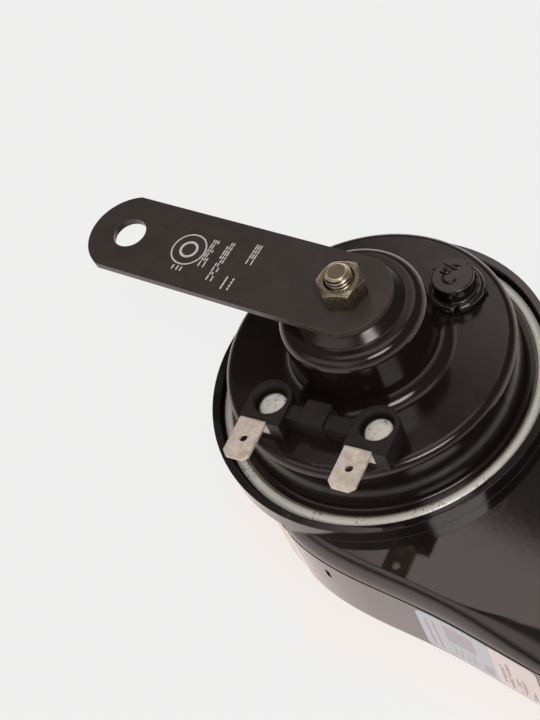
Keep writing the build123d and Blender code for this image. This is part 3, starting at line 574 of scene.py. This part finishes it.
def add_lumps(name, lumps, look):
    """Uneven drops of rubber: each a middle, three half sizes and a lean, in millimetres."""
    work = bmesh.new()
    for middle, half, turn in lumps:
        made = bmesh.ops.create_icosphere(work, subdivisions=3, radius=1.0)
        lean = Matrix.Rotation(math.radians(turn), 3, "Z")
        phase = random.uniform(0.0, 6.0)
        for vert in made["verts"]:
            way = vert.co.copy()
            swell = 1.0 + 0.13 * math.sin(3.1 * way.x + phase)
            swell += 0.1 * math.sin(4.3 * way.z + 2.0 * phase)
            local = lean @ Vector((way.x * half[0], way.y * half[1], way.z * half[2]))
            vert.co = Vector(middle) + local * swell
    points = [tuple(vert.co) for vert in work.verts]
    faces = [tuple(vert.index for vert in face.verts) for face in work.faces]
    work.free()
    return add_piece(name, points, faces, look, sharp=80.0)


def plug_point(angle, reach, height):
    """Point at an angle in degrees and a radius about the plug's middle."""
    turn = math.radians(angle)
    x = PLUG_CENTRE[0] + reach * math.cos(turn)
    y = PLUG_CENTRE[1] + reach * math.sin(turn)
    return (x, y, height)


def add_flash():
    """Moulding flash round the plug: lumps with a middle, three half sizes and a turn."""
    lumps = [
        (plug_point(172, 4.95, 47.75), (0.28, 0.3, 0.62), 172),
        (plug_point(170, 4.95, 46.2), (0.16, 0.2, 0.9), 170),
        (plug_point(PLUG_SEAM_ANGLE, 4.95, 47.95), (0.26, 0.62, 0.4), PLUG_SEAM_ANGLE),
        (plug_point(PLUG_SEAM_ANGLE, 4.98, 47.3), (0.18, 0.22, 0.75), PLUG_SEAM_ANGLE),
        (plug_point(PLUG_SEAM_ANGLE, 4.86, 46.0), (0.12, 0.12, 1.2), PLUG_SEAM_ANGLE),
        (plug_point(67, 4.85, 48.1), (0.3, 0.55, 0.3), 67),
        (plug_point(50, 4.95, 47.6), (0.34, 0.5, 0.75), 50),
        (plug_point(38, 5.2, 46.4), (0.42, 0.62, 0.8), 38),
        (plug_point(15, 6.75, 43.8), (0.3, 0.55, 0.4), 15),
    ]
    add_lumps("plug_flash", lumps, "plug")


def add_sealant():
    """Curls of dried sealant on the plug's top."""
    bead_radius = 0.38
    curls = [
        [(9.2, 22.6), (10.2, 22.0), (11.2, 22.2), (11.9, 22.8), (13.0, 22.6)],
        [(11.5, 21.9), (12.6, 21.7), (13.3, 22.4)],
        [(9.5, 20.1), (10.4, 19.8), (11.4, 20.2), (11.4, 20.8)],
        [(10.5, 19.5), (10.7, 18.7), (11.6, 17.8), (12.7, 17.7), (13.3, 18.3), (13.8, 19.3)],
        [(9.9, 21.2), (10.5, 20.7), (11.0, 20.9)],
    ]
    data = bpy.data.curves.new("plug_sealant", "CURVE")
    data.dimensions = "3D"
    data.bevel_depth = bead_radius * MM
    data.bevel_resolution = 3
    data.use_fill_caps = True
    for curl in curls:
        spline = data.splines.new("NURBS")
        spline.points.add(len(curl) - 1)
        for point, (x, y) in zip(spline.points, curl):
            height = PLUG_TOP + random.uniform(-0.06, 0.1)
            point.co = (x * MM, y * MM, height * MM, 1.0)
            point.radius = random.uniform(0.6, 1.25)
        spline.order_u = 3
        spline.use_endpoint_u = True
    piece = bpy.data.objects.new("plug_sealant", data)
    bpy.context.scene.collection.objects.link(piece)
    paint(piece, "plug")
    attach(piece, "horn")


def add_rivets():
    """Domed and dented rivet heads in the terminal block, with their shanks and tails."""
    points = []
    faces = []
    turn = math.radians(BLOCK_TURN)
    for across in (-12.3, 13.3):
        row = Vector((across, -21.5))
        middle = (
            row.x * math.cos(turn) - row.y * math.sin(turn),
            row.x * math.sin(turn) + row.y * math.cos(turn),
        )
        phase = random.uniform(0.0, 6.0)

        def dent(radius, height, angle):
            """Dents the head above its rim, but for its middle point."""
            if height < RIVET_HEAD_LOW + 0.1:
                return radius, height
            wave = math.sin(3 * angle + phase) + math.sin(7 * angle + 2 * phase + 2.0 * radius)
            reach = radius * (1.0 + 0.012 * wave * radius / 3.3)
            if radius > 0.4:
                height -= 0.035 * (1.0 + 0.5 * wave) * math.sin(2.3 * radius + phase) ** 2
            return reach, height

        rows = [(0.0, 40.0), (2.2, 40.0), (2.2, 40.8), (1.6, 40.8), (1.6, RIVET_HEAD_LOW)]
        rows += [(3.25, RIVET_HEAD_LOW), (3.28, 45.35)]
        rows += [(3.26, 45.6), (3.16, 45.85), (2.98, 46.02), (2.75, 46.12)]
        rows += [(radius, 46.28 - 0.018 * radius**2) for radius in spread(2.5, 0.0, 11)]
        found, sides = turned(rows, 72, middle, dent)
        faces += [tuple(index + len(points) for index in side) for side in sides]
        points += found
    piece = add_piece("dented_rivets", points, faces, "rivet", sharp=60.0)
    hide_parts("terminal_rivets")


def surface_of(node):
    """Search tree over a CAD node's surface."""
    mesh = nodes[node].data
    corners = [vert.co for vert in mesh.vertices]
    return BVHTree.FromPolygons(corners, [side.vertices for side in mesh.polygons])


def capsule(first, last, width, steps=4):
    """Outline of a bar with round ends."""
    along = math.atan2(last[1] - first[1], last[0] - first[0])
    outline = []
    for end, start in ((last, along - math.pi / 2), (first, along + math.pi / 2)):
        for step in range(steps + 1):
            angle = start + math.pi * step / steps
            u = end[0] + width / 2 * math.cos(angle)
            v = end[1] + width / 2 * math.sin(angle)
            outline.append((u, v))
    return outline


def broken_row(start, end, shortest, longest, gap):
    """Parts of a printed row: (from, to) of dashes of several lengths."""
    dashes = []
    place = start
    while place < end - shortest:
        stop = min(end, place + random.uniform(shortest, longest))
        dashes.append((place, stop))
        place = stop + gap
    return dashes


def add_marks(name, outlines, place, lift, look):
    """Printed shapes: flat outlines raised a little from a surface.

    place(u, v, lift) gives the point at that lift above the surface.
    """
    points = []
    faces = []
    for outline in outlines:
        first = len(points)
        count = len(outline)
        points += [place(u, v, -lift) for u, v in outline]
        points += [place(u, v, lift) for u, v in outline]
        faces.append(tuple(range(first + count, first + 2 * count)))
        for step in range(count):
            after = (step + 1) % count
            faces.append((first + step, first + after, first + count + after, first + count + step))
    return add_piece(name, points, faces, look)


def add_bracket_print():
    """White print on the bracket: two rings, one inside the other, and plain broken bars."""

    def place(u, v, lift):
        return (u, v, BRACKET_TOP + lift)

    outlines = []
    rows = [(-36.0, -3.4, 4.1), (-32.0, -6.2, 5.2), (-25.3, 0.5, 5.8)]
    for across, start, end in rows:
        for low, high in broken_row(start, end, 0.5, 1.5, 0.45):
            for side in (-0.62, 0.0, 0.62):
                if random.random() < 0.85:
                    outlines.append(capsule((across + side, low), (across + side, high), 0.34))
    for low, high in broken_row(-7.4, -3.6, 0.5, 1.1, 0.35):
        outlines.append(capsule((-28.0, low), (-28.0, high), 0.42))
        outlines.append(capsule((-26.3, low + 0.2), (-26.3, high), 0.42))
    for across in (-42.4, -41.2, -40.2):
        outlines.append(capsule((across, -5.9), (across, -4.9), 0.36))
    add_marks("bracket_print", outlines, place, PRINT_LIFT, "white_ink")
    low = BRACKET_TOP - 0.01
    high = BRACKET_TOP + PRINT_LIFT
    for name, inner, outer in (("print_ring", 4.0, 4.36), ("print_ring_inner", 1.7, 2.3)):
        rows = [(inner, low), (inner, high), (outer, high), (outer, low), (inner, low)]
        points, faces = turned(rows, 96, (-41.3, 0.0))
        add_piece(name, points, faces, "white_ink")


def add_sticker_print():
    """Plain print on the sticker: dark bars on its white field, faint bars and a square beside it."""
    tree = surface_of("rating_sticker")
    inwards = Vector((0.0, 1.0, 0.0))

    def place(u, v, lift):
        """Point on the sticker's outer face, found from in front of it."""
        spot = tree.ray_cast(Vector((u, -60.0, v)) * MM, inwards)[0]
        return (spot - inwards * lift * MM) / MM

    dark = []
    rows = [(49.6, 5.6, 15.0), (51.2, 4.6, 16.6), (53.1, 4.4, 11.0), (54.5, 4.4, 11.6), (56.6, 4.4, 8.8)]
    for across, start, end in rows:
        for low, high in broken_row(start, end, 0.5, 1.6, 0.4):
            for side in (-0.24, 0.24):
                if random.random() < 0.9:
                    dark.append(capsule((across + side, low), (across + side, high), 0.2))
    add_marks("sticker_bars", dark, place, 0.02, "dark_ink")
    pale = []
    for across in (31.4, 33.2):
        for low, high in broken_row(4.6, 17.6, 0.5, 1.4, 0.4):
            pale.append(capsule((across, low), (across, high), 0.45))
    for across in spread(36.0, 42.8, 12):
        for low, high in broken_row(11.2, 18.6, 0.3, 1.1, 0.42):
            pale.append(capsule((across, low), (across, high), 0.36))
    for low, high in broken_row(5.0, 8.6, 0.8, 1.4, 0.4):
        for across in (37.0, 38.4, 40.2, 41.6):
            pale.append(capsule((across, low), (across, high), 0.3))
    for across in (44.6, 45.4, 46.2):
        pale.append(capsule((across, 4.6), (across, 8.0), 0.4))
    add_marks("sticker_faint_bars", pale, place, 0.02, "pale_ink")


def add_parting_line():
    """Thin dark joint line between the two halves, along both long sides of the trumpet."""
    tree = surface_of("trumpet_front_half")
    low = SEAM_TOP - SEAM_WIDTH
    end = 77.9
    stations = 90
    points = []
    faces = []
    for side, start in ((-1.0, -4.0), (1.0, 37.5)):
        first = len(points)
        for along in spread(start, end, stations):
            origin = Vector((along, side * 70.0, low)) * MM
            spot = tree.ray_cast(origin, Vector((0.0, -side, 0.0)))[0] / MM
            for lift, height in ((-0.03, low), (0.02, low), (0.02, SEAM_TOP), (-0.12, SEAM_TOP)):
                points.append((spot.x, spot.y + side * lift, height))
        for station in range(stations - 1):
            for corner in range(4):
                near = first + 4 * station + corner
                over = first + 4 * station + (corner + 1) % 4
                faces.append((near, over, over + 4, near + 4))
    add_piece("parting_line", points, faces, "shadow_line")


add_stud()
add_nut()
add_plug()
add_flash()
add_sealant()
add_rivets()
add_bracket_print()
add_sticker_print()
add_parting_line()

# ---------------------------------------------------------------- floor and light
FLOOR_TONE = rgb(241, 241, 241)
FLOOR_REACH = 3.0
FLOOR_EMISSION = 0.9
SEEN_STRENGTH = 1.03
GLOW_TONE = rgb(245, 239, 235)
GLOW_REACH = 9.0 * MM
MIRRORED_TONE = rgb(244, 228, 221)
MIRRORED_STRENGTH = 1.4
UNIT_RADIUS = 40.0 * MM
ARM_MIDDLE_Y = -19.0 * MM
ARM_HALF_WIDTH = 30.0 * MM
MOUTH_X = 78.0 * MM


def ray_kind(look, name):
    """1 for rays of a kind named as the Light Path node's output, and 0 for others."""
    return look.node("ShaderNodeLightPath").outputs[name]


def add_floor():
    """Pale floor, mostly its own light to the camera, with a faint warm glow round the object's foot."""
    signs = ((-1, -1), (1, -1), (1, 1), (-1, 1))
    mesh = bpy.data.meshes.new("floor")
    mesh.from_pydata([(x * FLOOR_REACH, y * FLOOR_REACH, 0) for x, y in signs], [], [(0, 1, 2, 3)])
    floor = bpy.data.objects.new("floor", mesh)
    bpy.context.scene.collection.objects.link(floor)
    look = Look("floor", 1.0, Specular_IOR_Level=0.0)
    from_unit = look.node("ShaderNodeVectorMath", Vector=look.place)
    from_unit.operation = "LENGTH"
    split = look.node("ShaderNodeSeparateXYZ", Vector=look.place)
    x, y = split.outputs["X"], split.outputs["Y"]
    across = look.math("ABSOLUTE", look.math("SUBTRACT", y, ARM_MIDDLE_Y))
    past_side = look.math("MAXIMUM", look.math("SUBTRACT", across, ARM_HALF_WIDTH), 0.0)
    past_mouth = look.math("MAXIMUM", look.math("SUBTRACT", x, MOUTH_X), 0.0)
    before = look.math("MAXIMUM", look.math("SUBTRACT", 0.0, x), 0.0)
    past_arm = look.math("ADD", look.math("MAXIMUM", past_side, past_mouth), before)
    past_unit = look.math("SUBTRACT", from_unit.outputs["Value"], UNIT_RADIUS)
    away = look.math("MINIMUM", past_unit, past_arm)
    tone = look.mix(look.ramp(away, 0.0, GLOW_REACH), GLOW_TONE, FLOOR_TONE)
    look.colour(tone)
    mirrored = ray_kind(look, "Is Glossy Ray")
    glow = look.node("ShaderNodeEmission", Color=look.mix(mirrored, tone, MIRRORED_TONE))
    strength = look.ramp(mirrored, 0.0, 1.0, SEEN_STRENGTH, MIRRORED_STRENGTH)
    look.feed(glow.inputs["Strength"], strength)
    seen = look.math("MAXIMUM", ray_kind(look, "Is Camera Ray"), mirrored)
    blend = look.node("ShaderNodeMixShader")
    look.feed(blend.inputs[0], look.math("MULTIPLY", seen, FLOOR_EMISSION))
    look.feed(blend.inputs[1], look.shader.outputs["BSDF"])
    look.feed(blend.inputs[2], glow.outputs["Emission"])
    look.feed(look.tree.nodes["Material Output"].inputs["Surface"], blend.outputs["Shader"])
    mesh.materials.append(look.material)


LAMP_DISTANCE = 1200.0 * MM
LAMP_SIZE = (540.0 * MM, 340.0 * MM)
LAMP_RADIANCE = 11.0
LAMP_AZIMUTH = -30.0
LAMP_ZENITH = 35.0
LAMP_TONE = (1.0, 0.93, 0.895)
LIT_POINT = Vector((20.0, -10.0, 30.0)) * MM


def add_key_lamp():
    """Oval studio lamp that faces the object."""
    data = bpy.data.lights.new("key", "AREA")
    data.shape = "ELLIPSE"
    data.size, data.size_y = LAMP_SIZE
    data.energy = LAMP_RADIANCE * math.pi**2 / 4 * data.size * data.size_y
    data.color = LAMP_TONE
    lamp = bpy.data.objects.new("key", data)
    bpy.context.scene.collection.objects.link(lamp)
    around = math.radians(LAMP_AZIMUTH)
    down = math.radians(LAMP_ZENITH)
    level = math.sin(down)
    way = Vector((level * math.cos(around), level * math.sin(around), math.cos(down)))
    facing = way.to_track_quat("Z", "Y").to_matrix().to_4x4()
    lamp.matrix_world = Matrix.Translation(LIT_POINT + way * LAMP_DISTANCE) @ facing


UPWARDS = (0.0, 0.0, 1.0)
HORIZON = 0.82
CEILING = 0.14
CEILING_EDGES = (0.04, 0.34)
ROOM_TONE = (1.0, 0.9, 0.87, 1.0)
BACKDROP = 0.87
BACKDROP_TONE = (1.0, 1.0, 1.0, 1.0)
PANEL_TONE = (1.0, 0.84, 0.8, 1.0)
PANEL_FOOT = (0.1, 0.3)
OVERHEAD_AXIS = (1.0, 0.25, 0.0)
# A panel has a radiance and two axes. After each axis come four distances along it: where the panel
# starts, where it is at its full, where it begins to fade and where it ends.
SKY_PANELS = (
    (1.3, OVERHEAD_AXIS, (-0.4, -0.3, 0.1, 0.25), (0.0, 1.0, 0.0), (-0.06, 0.06, 0.362, 0.388)),
    (1.05, OVERHEAD_AXIS, (-0.4, -0.3, -0.05, 0.1), (0.0, 1.0, 0.0), (0.435, 0.49, 0.6, 0.75)),
    (0.9, (0.95, -0.3, 0.0), (-0.6, -0.3, 0.35, 0.7), (-0.3, -0.95, 0.0), (0.3, 0.55, 0.75, 0.95)),
)


class Sky:
    """The world's shader, with short calls that add nodes working on the direction looked in."""

    def __init__(self):
        world = bpy.data.worlds.new("world")
        bpy.context.scene.world = world
        world.use_nodes = True
        self.tree = world.node_tree
        self.way = self.node("ShaderNodeTexCoord").outputs["Generated"]

    def node(self, kind):
        """A new node."""
        return self.tree.nodes.new(kind)

    def link(self, value, socket):
        """Links an output to a socket, or sets the socket to a plain value."""
        if isinstance(value, bpy.types.NodeSocket):
            self.tree.links.new(value, socket)
        else:
            socket.default_value = value

    def math(self, operation, first, second):
        """Sum, product or other operation on two values."""
        made = self.node("ShaderNodeMath")
        made.operation = operation
        self.link(first, made.inputs[0])
        self.link(second, made.inputs[1])
        return made.outputs["Value"]

    def mix(self, kind, share, first, second):
        """Colour or number mixed from first to second."""
        made = self.node("ShaderNodeMix")
        made.data_type = kind
        self.link(share, made.inputs["Factor"])
        self.link(first, made.inputs["A"])
        self.link(second, made.inputs["B"])
        return made.outputs["Result"]

    def along(self, axis):
        """How far the direction goes along an axis."""
        made = self.node("ShaderNodeVectorMath")
        made.operation = "DOT_PRODUCT"
        self.link(self.way, made.inputs[0])
        made.inputs[1].default_value = axis
        return made.outputs["Value"]

    def fade(self, value, near, far, first=1.0, last=0.0):
        """first where value is up to near, and smoothly to last at far."""
        made = self.node("ShaderNodeMapRange")
        made.interpolation_type = "SMOOTHSTEP"
        self.link(value, made.inputs["Value"])
        made.inputs["From Min"].default_value = near
        made.inputs["From Max"].default_value = far
        made.inputs["To Min"].default_value = first
        made.inputs["To Max"].default_value = last
        return made.outputs["Result"]

    def within(self, axis, dark_low, full_low, full_high, dark_high):
        """1 where the direction goes that far along an axis, with soft edges."""
        along = self.along(axis)
        rise = self.fade(along, dark_low, full_low, 0.0, 1.0)
        return self.math("MULTIPLY", rise, self.fade(along, full_high, dark_high))

    def panel(self, radiance, first_axis, first_edges, second_axis, second_edges):
        """Soft-edged panel between limits along two axes, above the horizon only."""
        first = self.within(first_axis, *first_edges)
        second = self.within(second_axis, *second_edges)
        above = self.fade(self.along(UPWARDS), *PANEL_FOOT, 0.0, radiance)
        return self.math("MULTIPLY", self.math("MULTIPLY", first, second), above)


def light_scene():
    """A pale room with a dark ceiling and soft panels, seen in reflections, and a key lamp."""
    sky = Sky()
    room = sky.fade(sky.along(UPWARDS), *CEILING_EDGES, HORIZON, CEILING)
    panels = 0.0
    for panel in SKY_PANELS:
        panels = sky.math("ADD", panels, sky.panel(*panel))
    to_camera = sky.node("ShaderNodeLightPath").outputs["Is Camera Ray"]
    lit = sky.mix("FLOAT", to_camera, sky.math("ADD", room, panels), BACKDROP)
    tone = sky.mix("RGBA", sky.math("MINIMUM", panels, 1.0), ROOM_TONE, PANEL_TONE)
    background = sky.tree.nodes["Background"]
    sky.link(lit, background.inputs["Strength"])
    sky.link(sky.mix("RGBA", to_camera, tone, BACKDROP_TONE), background.inputs["Color"])
    add_key_lamp()


add_camera()
add_floor()
light_scene()
bpy.context.scene.view_settings.view_transform = "Standard"
